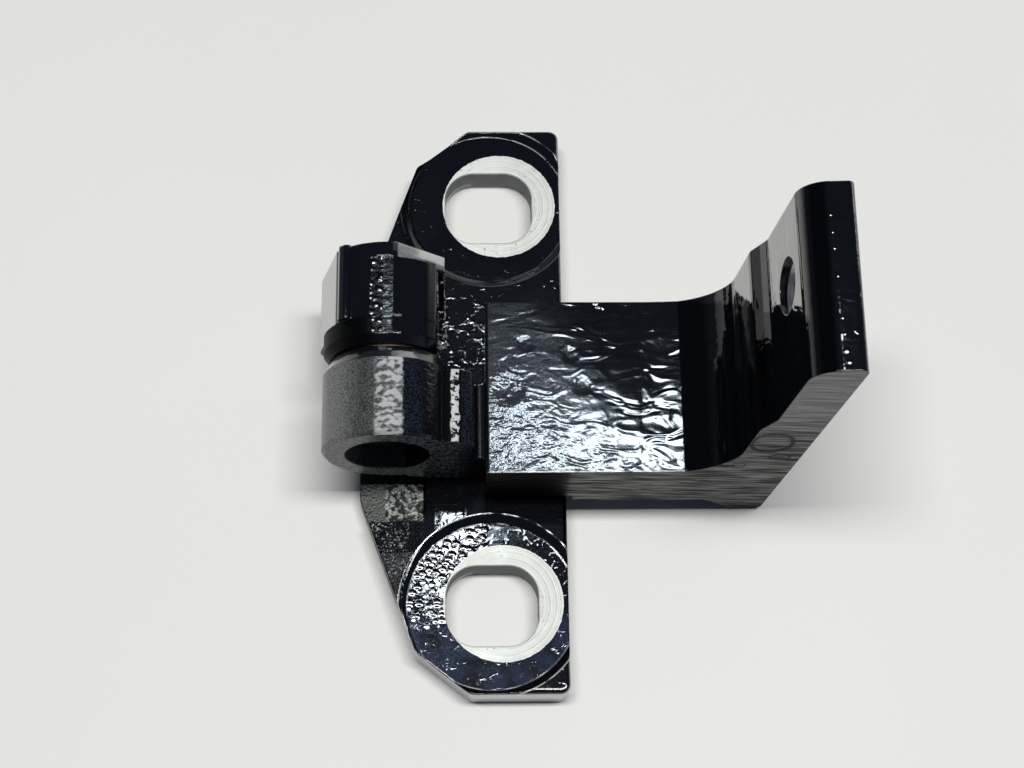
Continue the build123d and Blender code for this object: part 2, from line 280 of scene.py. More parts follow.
# %% [markdown]
# Every finish below is a graph that ends in one shader. Patterns are read at the
# piece's own coordinates, turned into millimetres, so that a finish has real sizes
# and stays with its piece when the door swings.
# A bump only bends the light: it is enough for paint, whose relief is a few
# hundredths of a millimetre. The bevel node rounds the look of each sharp edge in
# the same way, and the CAD mesh keeps its shape.

# %% Material helpers


class Surface(Masks):
    """The graph of one material. Lengths inside are millimetres."""

    def __init__(self, name):
        self.material = bpy.data.materials.new(name)
        self.material.use_nodes = True
        super().__init__(self.material.node_tree)
        own = self.node("ShaderNodeTexCoord", {}, {}).outputs
        self.point = self.scaled(own["Object"], (1 / MM, 1 / MM, 1 / MM))
        self.facing = own["Normal"]

    def noise(self, grain, detail=2.0, vector=None, rough=0.5, twist=0.0):
        """Clouds, with lumps about as wide as grain in millimetres, from 0 to 1."""
        inputs = {
            "Vector": vector or self.point,
            "Scale": 1 / grain,
            "Detail": detail,
            "Roughness": rough,
            "Distortion": twist,
        }
        return self.node("ShaderNodeTexNoise", {}, inputs).outputs[0]

    def cells(self, grain, vector=None):
        """Distance to scattered points about grain millimetres apart."""
        inputs = {"Vector": vector or self.point, "Scale": 1 / grain}
        return self.node("ShaderNodeTexVoronoi", {}, inputs).outputs["Distance"]

    def bump(self, height, depth, under=None):
        """A bump whose height is in millimetres when depth is 1."""
        inputs = {"Height": height, "Distance": depth * MM, "Strength": 1.0, "Normal": under}
        return self.node("ShaderNodeBump", {}, inputs).outputs[0]

    def soft_edges(self, radius):
        """A normal that rolls over each sharp edge, so that edges catch the light."""
        inputs = {"Radius": radius * MM}
        return self.node("ShaderNodeBevel", {"samples": 6}, inputs).outputs[0]

    def from_axis(self):
        """The distance from the hinge pin's axis."""
        x, _, z = self.parts(self.point)
        across = self.maths("SUBTRACT", x, axis_x)
        return self.length(self.flat(across, self.maths("SUBTRACT", z, axis_z)))

    def finish(self, **inputs):
        """Joins or sets the shader's own sockets, and gives back the material."""
        shader = self.tree.nodes["Principled BSDF"]
        for key, value in inputs.items():
            self.give(shader.inputs[key.replace("_", " ")], value)
        return self.material


def grey(level, warmth=0.0):
    """A grey, a little warmer or cooler."""
    return (level * (1 + warmth), level, level * (1 - warmth), 1)


print("material helpers", [name for name in vars(Surface) if not name.startswith("_")])

# %% [markdown]
# The table is a plain off-white board. Its colour, not extra light, makes it pale.
# It could be a box with legs, but only its top is ever seen, so it is one flat disc,
# wide enough to meet the backdrop in a low view. A faint mottle and rare specks of
# dust keep it from looking like an empty sheet.

# %% Table
TABLE_RADIUS = 3.0
BOARD = ((0.775, 0.785, 0.765, 1), (0.815, 0.825, 0.805, 1))  # its darker and paler mottle
DUST = grey(0.25, 0.1)


def table_material():
    """Off-white board with a faint mottle and a few specks of dust."""
    g = Surface("table_board")
    colour = g.paint(g.noise(90, 3), *BOARD)
    near_point = g.maths("LESS_THAN", g.cells(26), 0.018)
    chosen = g.maths("GREATER_THAN", g.noise(60, 1), 0.53)
    colour = g.paint(g.both(near_point, chosen, 0.55), colour, DUST)
    return g.finish(Base_Color=colour, Roughness=0.55, Normal=g.bump(g.noise(0.8, 3), 0.02))


board = bmesh.new()
bmesh.ops.create_circle(board, cap_ends=True, segments=64, radius=TABLE_RADIUS)
board_mesh = bpy.data.meshes.new("table")
board.to_mesh(board_mesh)
board.free()
table = bpy.data.objects.new("table", board_mesh)
scene.collection.objects.link(table)
table.data.materials.append(table_material())
print("table", len(table.data.polygons), "face")

# %% [markdown]
# The panes are meant for the hinge alone: on the board they would throw long, hard
# shadows. A photographer puts black card in a lamp's way for that. Here light linking
# is used: a collection lists what a lamp mustn't light. The wide pane is kept off the
# arm as well, whose top would mirror it.

# %% Keep the panes off the board


def keep_off(panes, name, *objects):
    """Stops lamps from lighting some objects."""
    shaded = bpy.data.collections.new(name)
    for shaded_object in objects:
        shaded.objects.link(shaded_object)
    for entry in shaded.collection_objects:
        entry.light_linking.link_state = "EXCLUDE"
    for pane in panes:
        pane.light_linking.receiver_collection = shaded


keep_off((upper_pane, lower_pane), "off_the_board", table)
keep_off((wide_pane,), "flagged", table, nodes["door_leaf"])
print("kept off", table.name, "and, for the wide pane,", nodes["door_leaf"].name)

# %% [markdown]
# Every finish on the hinge shares a few patterns. A dipped coat sags into broad, low
# ripples, and grains of scale or dust lie under it. A cutter leaves fine rings.
# Each pattern is a height or a mask in millimetres, so it can be added to others.
# An image texture could show the same, but only as sharply as its pixels allow.

# %% Shared finishes
BLACK = (0.0028, 0.0033, 0.0045, 1)
COAT_ROUGHNESS = 0.045
RIPPLES = ((9.0, 0.6, 0.075), (3.2, 1.5, 0.040))  # width, twist and height of each kind


def waves(g, stretch=(1.0, 1.0, 1.0)):
    """Ripples of a dipped coat, in millimetres of height."""
    at = g.scaled(g.point, stretch)
    kinds = []
    for wide, twist, high in RIPPLES:
        kinds.append(g.times(g.noise(wide, 1, vector=at, twist=twist), high))
    return g.plus(*kinds)


def grains(g, size, height):
    """Small round grains, in millimetres of height."""
    return g.times(g.noise(size, 2, rough=0.55), height)


def turned_lines(g, radius, spacing):
    """Fine rings that a cutter leaves, from 0 to 1, by the distance from its middle."""
    wander = g.times(g.noise(6, 1), spacing)
    turns = g.maths("DIVIDE", g.plus(radius, wander), spacing)
    return g.noise(1.0, 2, vector=g.flat(turns, 0.0))


def patches(g, size, start, end, **noise):
    """Scattered patches of about one size, as a mask."""
    return g.step(g.noise(size, **noise), start, end)


print("coat colour", BLACK[:3], "with", len(RIPPLES), "kinds of ripple")

# %% [markdown]
# The forged leaf has one coat of black over everything, then a cutter bares a ring at
# each adjusting hole so that the bolt's washer sits on steel. Such places could be
# painted by hand on a texture. Here they are worked out from the point's own
# coordinates, as a mask that is 1 inside and 0 outside, because the places are known
# sizes of the part and stay sharp at any distance.

# %% Places on the pillar leaf
HOLE_Y = 35.4  # the adjusting holes, both ways from the middle
SEAT_EDGE = 15.2  # radius of the wall round a turned seat, at its top
SEAT_FLOOR = 13.8  # and at its foot
SEAT_Z = 5.7  # height of the seats
OVER_PLATE = 10.0  # a height between the plate and the eye, to tell them apart
RING_X = 1.8  # the bare rings lie a little beside the holes
RING_SHIFT = 0.4
RING_R = 9.7
EYE_R = 10.5  # radius of the eye and of the knuckle
COLLAR_Y = 5.5  # far end of the eye's collar
EYE_END = 16.6  # far end of the eye's main part, where the lug's facet begins
FLANK_X = -11.1  # the forging's flank lies to the left of here
FLANK_Y = (-34.5, 0.0)  # and between these
RELIEF_Y = -21.2  # the knuckle's relief is cut in the flank beyond here
FLAT_X = -17.4  # middle of the eye's narrow top flat
FLAT_HALF = 1.9  # half its width
FLAT_Y = (2.45, 15.6)  # its near and far end
FLAT_Z = 28.4  # a height just under it
LUG_X = (-15.6, -7.2)  # sides of the lug's facet
# PATCH is a patch that the painted shade leaves out, so that its reflection shows
PATCH = (-6.7, -20.8)  # a clean patch between the eye and the lower seat


def pillar_places(g):
    """Masks and distances on the pillar leaf."""
    on = SimpleNamespace()
    x, y, z = g.parts(g.point)
    on.x, on.y, on.z = x, y, z
    hole_y = g.times(g.maths("SIGN", y), HOLE_Y)
    on.right_of_ring = g.maths("SUBTRACT", x, RING_X)
    above_ring = g.maths("SUBTRACT", y, g.plus(hole_y, RING_SHIFT))
    on.from_ring = g.length(g.flat(on.right_of_ring, above_ring))
    on.from_hole = g.length(g.flat(x, g.maths("SUBTRACT", y, hole_y)))

    # The bare ring is ragged, and paint has run down the hole's left wall.
    ragged = g.plus(on.from_ring, g.times(g.noise(0.8, 3), 0.30))
    run = g.both(g.step(x, -2.6, -3.4), g.step(z, 1.9, 1.5))
    on.bare = g.both(
        g.step(ragged, RING_R + 0.20, RING_R + 0.10),
        g.step(z, 0.35, 0.6),
        g.step(z, SEAT_Z + 0.25, SEAT_Z + 0.1),
        g.without(run),
    )
    on.flank = g.both(
        g.step(x, FLANK_X + 0.2, FLANK_X - 0.2),
        g.step(y, FLANK_Y[1] + 1.0, FLANK_Y[1] - 1.0),
        g.step(y, FLANK_Y[0] - 1.5, FLANK_Y[0] + 1.5),
        g.step(z, 0.5, 1.0),
        g.step(on.from_hole, SEAT_EDGE, SEAT_EDGE + 0.2),
    )
    on.low_seat = g.both(
        g.step(on.from_hole, SEAT_FLOOR + 0.2, SEAT_FLOOR), g.step(y, -20.0, -21.0)
    )
    on.eye = g.both(g.step(y, 0.0, 1.0), g.step(g.from_axis(), EYE_R + 3.0, EYE_R + 2.0))
    on.collar = g.both(
        on.eye, g.step(y, COLLAR_Y + 0.05, COLLAR_Y - 0.05), g.step(x, -18.0, -20.0)
    )
    on.top_flat = g.both(
        g.near(x, FLAT_X, FLAT_HALF + 0.1, FLAT_HALF - 0.1),
        g.step(z, FLAT_Z - 0.1, FLAT_Z + 0.1),
        g.step(y, FLAT_Y[0] - 0.15, FLAT_Y[0] + 0.15),
        g.step(y, FLAT_Y[1] + 0.2, FLAT_Y[1] - 0.2),
    )
    on.flat_left = g.both(on.top_flat, g.step(x, FLAT_X + 0.3, FLAT_X - 0.1))
    return on


print("holes at", HOLE_Y, "mm, with rings of", RING_R, "and seats of", SEAT_EDGE)

# %% [markdown]
# The coat's orange peel breaks a window's mirror image into blots and specks. That is
# nearly all that gloss black shows, so its relief matters more than its colour.
# The relief is a bump: real displacement would need a far finer mesh for lumps of a
# few hundredths of a millimetre that don't change the outline.

# %% Relief of the pillar leaf
DROPS = (0.008, 0.060)  # height of drops on the plate, and of those beside the eye
SEAT_BLISTER = 0.085  # height of the blisters in the lower seat
FLAT_BLISTER = 0.110  # and on the eye's flat
CAST_GRAIN = 0.14  # height of the cast skin's grains


def pillar_relief(g, on):
    """Height of the coat and of what lies under it, in millimetres."""
    x, y, z = on.x, on.y, on.z
    on_plate = g.step(z, OVER_PLATE + 2.0, OVER_PLATE + 1.0)
    by_the_eye = g.both(g.near(x, -4.5, 5.5, 4.0), g.step(y, 1.0, 3.0), g.step(y, 20.0, 16.0))
    drops = patches(g, 1.6, 0.54, 0.70, detail=1, twist=0.8)
    drops = g.both(drops, g.blend(by_the_eye, *DROPS), on_plate)
    grit = g.both(grains(g, 0.5, 0.006), on.grainy)
    # Rows of round blisters lie in the lower seat's upper left and on the eye's flat.
    upper_left = g.maths("SUBTRACT", g.times(y, 0.35), x)
    blistered = g.both(on.low_seat, g.step(upper_left, -9.0, -5.0), g.step(y, -40.0, -37.0))
    blisters = g.plus(
        g.both(on.blisters, blistered, SEAT_BLISTER),
        g.both(on.blisters, on.flat_left, FLAT_BLISTER),
        g.both(g.noise(0.7, 2), on.top_flat, 0.045),
    )
    cast = g.both(grains(g, 0.40, CAST_GRAIN), on.flank)
    # The eye is smoother than the plate, and its right side is the smoothest.
    above_plate = g.step(z, OVER_PLATE + 1.0, OVER_PLATE + 2.0)
    eye_right = g.both(above_plate, g.step(y, 0.0, 1.0), g.step(x, -12.5, -11.0))
    calm = g.blend(g.maths("GREATER_THAN", z, OVER_PLATE), 0.45, 0.20)
    calm = g.times(calm, g.without(g.both(eye_right, 0.92)))
    return g.plus(g.times(waves(g), calm), drops, grit, blisters, cast)


print("blisters", SEAT_BLISTER, "and", FLAT_BLISTER, "mm high, cast grains", CAST_GRAIN)

# %% [markdown]
# Steel that was cut is pale with fine rings, smears and a few pits. The forging's
# flank kept its cast skin, and greyer skin shows where the knuckle's relief was cut.
# A painted highlight, a light line, runs along both edges of the seats' walls. The lug's
# facet gets a painted reflection, pale and whiter to the right, and the lower seat a
# painted blue reflection in patches. The colours are laid over each other by their
# masks, as a painter would mask and spray.

# %% Colours of the pillar leaf
TURNED_STEEL = (0.70, 0.715, 0.685, 1)
CUTTER_LINE = (0.50, 0.52, 0.49, 1)
SMEAR = (0.74, 0.75, 0.73, 1)
PIT = (0.12, 0.125, 0.12, 1)
HOLE_WALL = (0.20, 0.215, 0.215, 1)
CUT_SKIN = ((0.012, 0.014, 0.014, 1), (0.125, 0.135, 0.130, 1))  # between crumbs, on crumbs
CAST_SKIN = ((0.004, 0.005, 0.006, 1), (0.120, 0.130, 0.130, 1))  # between chips, on chips
OUTER_SKIN = (0.045, 0.050, 0.048, 1)
# painted highlight: a light line on the edges of the seats' walls
SEAT_EDGE_HIGHLIGHT = (0.42, 0.45, 0.45, 1)
# painted reflection on the lug's facet, dark at its left end and whiter to the right
LUG_SHEEN = ((0.035, 0.040, 0.038, 1), (0.30, 0.31, 0.31, 1))  # at its left and right end
# painted reflection of a dim blue room in the lower seat
SEAT_SKY_REFLECTION = (0.016, 0.023, 0.046, 1)


def bare_steel(g, on):
    """Turned steel of the rings, with the holes' darker walls."""
    right = g.step(on.right_of_ring, -3.0, 6.0, 0.35, 1.0)
    streaks = g.both(g.step(on.rings, 0.62, 0.40), right)
    steel = g.paint(streaks, TURNED_STEEL, CUTTER_LINE)
    steel = g.paint(g.step(on.smear, 0.50, 0.75, 0.0, 0.7), steel, SMEAR)
    pits = g.both(patches(g, 0.45, 0.63, 0.70), patches(g, 4.0, 0.42, 0.60), 0.55)
    steel = g.paint(pits, steel, PIT)
    wall = g.step(on.z, SEAT_Z - 0.2, SEAT_Z - 0.6)
    return g.paint(wall, steel, HOLE_WALL)


def flank_skin(g, on):
    """Cast skin with chips, and cut skin with crumbs above the relief's end."""
    crumbs = patches(g, 0.9, 0.44, 0.60, detail=3, rough=0.6)
    cut = g.paint(crumbs, *CUT_SKIN)
    cut = g.paint(g.step(on.x, -17.8, -17.2), OUTER_SKIN, cut)
    chips = g.both(
        patches(g, 0.42, 0.52, 0.62, detail=3, rough=0.65),
        patches(g, 4.0, 0.40, 0.60),
        g.step(on.x, -11.5, -14.5, 0.3, 1.0),
    )
    cast = g.paint(chips, *CAST_SKIN)
    return g.paint(g.step(on.y, RELIEF_Y - 0.4, RELIEF_Y + 0.2), cast, cut)


def seat_edge_highlights(g, on):
    """Painted highlights along the edges of the seats' walls, most at the lower seat."""
    top = g.near(on.from_hole, SEAT_EDGE, 0.16, 0.06)
    foot = g.near(on.from_hole, SEAT_FLOOR, 0.14, 0.05)
    upper_right = g.both(g.step(on.x, -2.0, 5.0), g.step(on.y, 36.0, 40.0))
    strength = g.blend(g.step(on.y, 0.0, 1.0), 0.9, g.blend(upper_right, 0.12, 0.6))
    on_plate = g.both(g.step(on.z, 5.0, 5.4), g.step(on.z, OVER_PLATE + 1.0, OVER_PLATE + 0.6))
    return g.both(g.most(top, foot), on_plate, patches(g, 5.0, 0.42, 0.52, detail=3), strength)


def pillar_colour(g, on):
    """Black, with bare steel, skin, painted edge highlights, and painted reflections on the lug's facet and in the
    lower seat.
    """
    colour = g.paint(on.bare, BLACK, bare_steel(g, on))
    colour = g.paint(on.flank, colour, flank_skin(g, on))
    # painted highlight along the edges of the seats' walls
    colour = g.paint(seat_edge_highlights(g, on), colour, SEAT_EDGE_HIGHLIGHT)
    # painted reflection on the lug's facet, whiter towards its right end
    lug = g.both(
        g.step(on.y, EYE_END - 0.2, EYE_END + 0.2),
        g.step(on.z, 15.0, 16.5),
        g.step(on.x, LUG_X[0] - 0.2, LUG_X[0] + 0.2),
        g.step(on.x, LUG_X[1] + 0.2, LUG_X[1] - 0.2),
    )
    pale_end = g.step(g.plus(on.x, g.times(g.noise(2.0, 2), 2.0)), -11.6, -9.6)
    colour = g.paint(lug, colour, g.paint(pale_end, *LUG_SHEEN))
    # painted blue reflection in patches in the lower part of the lower seat
    haze = g.both(on.low_seat, g.step(on.y, -33.0, -39.0), patches(g, 3.5, 0.35, 0.65, detail=3))
    return g.paint(g.both(haze, g.without(on.bare)), colour, SEAT_SKY_REFLECTION)


print("turned steel", TURNED_STEEL[:3], "thin paint", SEAT_EDGE_HIGHLIGHT[:3])

# %% [markdown]
# Painted shade: some places are given next to no shine, so that they mirror nothing and
# stay dark: the collar, one side of the eye, its flat between the blisters, the hollow
# beside the lower seat, an arc of the upper seat's wall, and the flank. High roughness
# alone would turn them grey.
# A metal with a nearly black base colour stays dark: its mirror has the colour's
# strength, where a plain black paint would still mirror four parts in a hundred.

# %% Painted shade on the pillar leaf


def pillar_painted_shade(g, on):
    """Painted shade: where the pillar leaf's paint is given next to no shine."""
    x, y, z = on.x, on.y, on.z
    hollow = g.both(
        g.step(z, OVER_PLATE + 0.5, OVER_PLATE),
        g.step(y, -12.0, -13.0),
        g.step(y, -27.0, -26.5),
        g.step(on.from_hole, SEAT_EDGE - 0.2, SEAT_EDGE),
    )
    # a patch left out of the painted shade
    unshaded = g.both(g.near(x, PATCH[0], 2.7, 2.3), g.near(y, PATCH[1], 2.3, 1.9))
    between = g.both(
        on.top_flat, g.step(on.blisters, 0.45, 0.15), g.blend(on.flat_left, 0.72, 0.85)
    )
    eye_side = g.both(
        on.eye,
        g.step(x, -10.9, -10.3),
        g.step(x, -8.7, -9.0),
        g.step(y, 17.4, 16.8),
        g.step(z, 17.0, 18.0),
    )
    upper_arc = g.both(
        g.step(x, 3.0, 0.0),
        g.step(y, 20.0, 21.0),
        g.step(y, 46.0, 42.0),
        g.step(z, OVER_PLATE + 1.0, OVER_PLATE),
        g.near(on.from_hole, (SEAT_EDGE + SEAT_FLOOR) / 2, 1.6, 1.2),
    )
    flank = g.both(on.flank, g.step(y, RELIEF_Y + 0.2, RELIEF_Y - 0.4, 0.25, 0.65))
    painted_shade = g.most(
        g.both(hollow, g.without(unshaded)),
        between,
        g.both(eye_side, 0.75),
        g.both(on.collar, 0.95),
        g.both(upper_arc, 0.9),
        flank,
    )
    return g.both(painted_shade, g.without(on.bare))


print("clean patch in the soot at", PATCH)

# %% [markdown]
# All of it meets in one shader. Its base is rough where there is skin or bare steel,
# and its coat, a second and smoother mirror, lies only where the paint is whole.
# Each finish could be a material of its own on its own faces, but then it would have to
# end at an edge of the mesh. With masks the paint can end anywhere.

# %% Paint of the pillar leaf


def pillar_material():
    """Gloss black on a forging, with a bare turned ring at each adjusting hole."""
    g = Surface("pillar_black")
    on = pillar_places(g)
    # The plate is a little gritty, except in the lower seat and on the eye.
    by_eye = g.both(g.step(on.y, -0.5, 0.5), g.step(g.from_axis(), EYE_R + 3.0, EYE_R + 1.5))
    on.grainy = g.both(patches(g, 14, 0.38, 0.62), g.without(by_eye), g.without(on.low_seat))
    on.blisters = g.step(g.cells(1.10, vector=g.scaled(g.point, (0.8, 1.10, 1.0))), 0.62, 0.05)
    on.rings = turned_lines(g, on.from_ring, 0.26)
    on.smear = g.noise(2.5, 3)
    edges = g.soft_edges(0.40)
    painted = g.bump(pillar_relief(g, on), 1.0, edges)
    turned = g.bump(on.rings, 0.006, edges)
    normal = g.node("ShaderNodeMix", {"data_type": "VECTOR"}, {0: on.bare, 4: painted, 5: turned})

    # painted shade: these places are made to mirror next to nothing
    painted_shade = pillar_painted_shade(g, on)
    rough = g.blend(on.top_flat, g.blend(on.grainy, 0.05, 0.09), 0.16)
    rough = g.blend(on.low_seat, rough, g.step(on.y, -34.0, -40.0, 0.06, 0.09))
    rough = g.blend(on.flank, rough, 0.38)
    rough = g.blend(on.bare, rough, g.blend(on.smear, 0.60, 0.78))
    rough = g.blend(painted_shade, rough, g.most(rough, g.blend(on.collar, 0.24, 0.60)))
    return g.finish(
        Base_Color=pillar_colour(g, on),
        Metallic=g.most(on.bare, painted_shade),
        Roughness=rough,
        Normal=normal.outputs[1],
        Coat_Weight=g.both(g.without(g.most(on.bare, on.flank)), g.without(painted_shade)),
        Coat_Roughness=COAT_ROUGHNESS,
        Coat_Normal=normal.outputs[1],
    )


pillar_paint = pillar_material()
print("pillar paint", len(pillar_paint.node_tree.nodes), "nodes")

# %% [markdown]
# The door leaf is cut from a rolled bar, so its two ends are sawn faces, and the knuckle
# on it was turned afterwards. Each of these surfaces ages in its own way, so each gets
# a mask: the turned knuckle, the web between it and the arm, and the sawn ends.
# The ends are found by the way the surface faces, which is simpler than a list of
# their edges. The piece's own normal is read, not the world's, so that the masks
# swing with the door.

# %% Places on the door leaf
CHAMFER_Y = -1.55  # the knuckle begins in front of its chamfer
WEB_X = -1.05  # the web ends and the arm begins
STEP_X = -0.8  # middle of a low step between the web and the arm's front end
STEP_Z = 17.7  # and its height
STRIP_X = -5.5  # middle of the web's crest
DUST_X = -14.0  # the knuckle is dusty to the left of here
FRONT_Y = -17.2  # front end of the leaf
FLANGE_X = 28.0  # the flange's inner side lies to the right of here
FLANGE_Z = 62.5  # the flange's end is higher than this


def door_places(g):
    """Masks on the door leaf."""
    on = SimpleNamespace()
    x, y, z = g.parts(g.point)
    on.x, on.y, on.z = x, y, z
    on.facing_x, on.facing_y, on.facing_z = g.parts(g.facing)
    before_chamfer = g.step(y, CHAMFER_Y + 0.04, CHAMFER_Y - 0.04)
    on.turned = g.both(g.step(g.from_axis(), EYE_R + 0.9, EYE_R + 0.2), before_chamfer)
    on.web = g.both(g.step(x, WEB_X + 0.03, WEB_X - 0.03), before_chamfer)
    on.knuckle = g.most(on.turned, on.web)
    end_on = g.step(g.maths("ABSOLUTE", on.facing_y), 0.85, 0.95)
    on.sawn = g.both(end_on, g.without(on.knuckle))
    on.low_step = g.step(z, STEP_Z + 0.6, STEP_Z + 0.2)
    on.flange_face = g.both(on.sawn, g.step(z, 30.0, 52.0))
    # The coat is hazy and grainy near the knuckle, and clears towards the flange.
    towards = g.plus(x, g.times(y, 0.55), g.times(g.noise(6, 2), 14))
    on.haze = g.without(g.step(towards, 4.0, 30.0))
    # The saw's lines run along the arm on both ends, a little askew.
    tilt = (0, math.radians(-5), 0)
    askew = g.node("ShaderNodeMapping", {}, {0: g.point, 2: tilt}).outputs[0]
    on.saw = g.noise(0.42, 3, vector=g.scaled(askew, (0.045, 1.0, 1.0)), rough=0.6)
    scratch = g.noise(0.9, 2, vector=g.scaled(askew, (0.10, 1.0, 1.0)))
    on.unscratched = g.without(g.step(scratch, 0.58, 0.70))
    return on


print("web to", WEB_X, "knuckle from", CHAMFER_Y, "low step at", STEP_Z)

# %% [markdown]
# The arm's top mirrors a window in long streaks, because its ripples are stretched
# along the arm. A few shallow dents close the streaks into loops, and tiny nibs on the
# flange's end give single sparks. They could be modelled, but the CAD's mesh has to
# stay as it is, so they are bumps. Both are round and have known places, so a short
# list and a loop make each. The base is grainier than the clear coat that covers it.

# %% Relief of the door leaf
# Dents in the arm's top: place across and along the pin, reach and depth.
DENTS = (
    (2.6, -3.6, 3.2, 0.045),
    (2.6, -3.6, 1.5, 0.020),
    (14.6, -3.1, 2.0, 0.035),
    (12.7, 2.4, 1.8, 0.030),
    (5.4, 4.2, 1.8, 0.030),
    (17.2, 10.4, 1.2, 0.035),
)
# Nibs on the flange's end: place across and along the pin, and reach.
NIBS = (
    (47.7, 6.3, 0.32),
    (47.8, 3.6, 0.30),
    (47.9, 1.1, 0.34),
    (48.1, -3.2, 0.32),
    (48.3, -9.6, 0.30),
    (48.4, -12.0, 0.34),
    (48.5, -14.5, 0.60),
    (48.8, -16.2, 0.50),
)


def from_spot(g, on, across, along):
    """Distance from an upright line through a spot."""
    return g.length(g.moved(g.flat(on.x, on.y), (-across, -along, 0)))


def door_relief(g, on):
    """Heights of the coat and of the base under it, in millimetres."""
    matte = g.most(on.sawn, on.knuckle)
    coat = g.times(waves(g, (0.6, 1.1, 1.0)), g.blend(matte, 1.0, 0.15))
    for across, along, reach, deep in DENTS:
        uneven = g.plus(from_spot(g, on, across, along), g.noise(1.4, 2))
        dent = g.both(g.step(uneven, reach + 0.5, 0.5 * reach), g.step(on.z, 15.0, 17.0), deep)
        coat = g.maths("SUBTRACT", coat, dent)
    sand = g.both(g.plus(grains(g, 0.34, 0.012), grains(g, 0.85, 0.045)), on.knuckle)
    dust = g.both(grains(g, 0.40, 0.018), on.haze)
    base = g.plus(coat, sand, dust, g.both(on.saw, on.sawn, 0.060))
    coat = g.plus(coat, g.both(grains(g, 0.7, 0.014), on.haze))
    for across, along, reach in NIBS:
        round_nib = g.step(from_spot(g, on, across, along), reach, 0.0)
        nib = g.both(round_nib, g.step(on.z, FLANGE_Z, FLANGE_Z + 0.7), reach * 0.14)
        coat = g.plus(coat, nib)
        base = g.plus(base, nib)
    return coat, base


print("dents", len(DENTS), "nibs", len(NIBS))

# %% [markdown]
# The sawn ends shine only on the ridges between the saw's lines, and a few round marks
# from handling are rubbed into them. Colour, roughness and coat could each have a
# pattern of their own, but a pale line would then miss its shiny one. One mask of the
# shine sets all three, which ties them the way they are tied on the real thing.

# %% Sawn ends of the door leaf
# Round marks on the sawn end: middle in X and Z, and half their width and height.
FACE_MARKS = ((42.3, 33.6, 3.15, 3.95), (38.55, 23.1, 0.95, 1.2), (44.4, 27.0, 1.6, 1.2))
HEEL_END = ((0.002, 0.002, 0.002, 1), (0.010, 0.0105, 0.011, 1))  # where dull and where shiny
FLANGE_END = ((0.045, 0.047, 0.047, 1), (0.105, 0.110, 0.110, 1))


def sawn_shine(g, on):
    """How much of its shine a sawn end has kept."""
    shine = g.both(g.step(on.saw, 0.35, 0.65), on.unscratched)
    face = g.flat(on.x, on.z)
    for middle_x, middle_z, half_x, half_z in FACE_MARKS:
        inside = g.moved(face, (-middle_x, -middle_z, 0))
        reach = g.length(g.scaled(inside, (1 / half_x, 1 / half_z, 0)))
        rim = g.near(reach, 1.0, 0.16, 0.08)
        shine = g.both(shine, g.without(g.both(rim, 0.8)))
    return g.blend(g.both(on.flange_face, 0.55), shine, 1.0)


def sawn_colour(g, on, shine):
    """Nearly black near the heel, greyer on the flange."""
    return g.paint(on.flange_face, g.paint(shine, *HEEL_END), g.paint(shine, *FLANGE_END))


print("round marks on the sawn ends", len(FACE_MARKS))

# %% [markdown]
# The knuckle kept a dry, dusty skin on its left half, paler towards the far left. A
# painted highlight runs along its crest: a pale band in patches for the window's
# reflection. A fine blue speckle lies to the right of it. The web's crest carries a
# painted highlight in a ragged, broken strip, and so does the arm's front edge. One
# picture could hold them all, but a layer with a mask can be moved or made stronger
# without the others.
# So each layer is painted over the last one through its mask.

# %% Colours of the door leaf
THIN_DUST = ((0.022, 0.025, 0.024, 1), (0.085, 0.092, 0.088, 1))  # between specks, on specks
FAR_LEFT_DUST = ((0.090, 0.097, 0.092, 1), (0.200, 0.210, 0.200, 1))
BLOTCHED = ((0.012, 0.016, 0.016, 1), (0.100, 0.112, 0.108, 1))  # between blots, on blots
# painted highlight along the knuckle's crest
CREST_HIGHLIGHT = (0.40, 0.41, 0.42, 1)
BLUE_SPECKS = (0.013, 0.018, 0.029, 1)
# blue tint of the hazy coat, partly a painted blue sheen
ARM_HAZE_AND_SHEEN = (0.003, 0.006, 0.016, 1)
# painted highlight on the web's crest
STRIP_HIGHLIGHT = (0.55, 0.56, 0.56, 1)
# painted highlight on the arm's upper front edge
EDGE_HIGHLIGHT = (0.42, 0.44, 0.45, 1)


def knuckle_skin(g, on):
    """Dusty skin, paler to the far left, with a painted highlight band along the crest as its palest part."""
    speckle = patches(g, 0.28, 0.36, 0.64)
    # the skin is paler towards the knuckle's far left
    far_left = g.step(on.x, DUST_X - 6.0, DUST_X - 10.5)
    skin = g.paint(far_left, g.paint(speckle, *THIN_DUST), g.paint(speckle, *FAR_LEFT_DUST))
    # painted highlight: a pale band in patches along the knuckle's crest
    painted_crest = g.both(g.step(on.x, DUST_X - 4.6, DUST_X - 4.0), g.step(on.z, 26.5, 28.0))
    long_grain = g.scaled(g.point, (0.6, 1.0, 1.0))
    crest_patches = patches(g, 0.8, 0.40, 0.58, detail=3, vector=long_grain)
    return g.paint(g.both(painted_crest, crest_patches), skin, CREST_HIGHLIGHT)


def blue_speckle(g, on):
    """A fine blue speckle beside the dusty half and beside the web's crest."""
    by_dust = g.both(
        on.knuckle, g.step(on.x, DUST_X - 0.3, DUST_X + 0.3), g.step(on.x, -10.2, -11.4)
    )
    by_strip = g.both(on.web, g.step(on.x, STRIP_X + 0.4, STRIP_X + 0.8))
    speckle = patches(g, 0.30, 0.42, 0.60)
    return g.both(g.most(by_dust, by_strip), speckle, g.step(on.z, 18.5, 20.0))


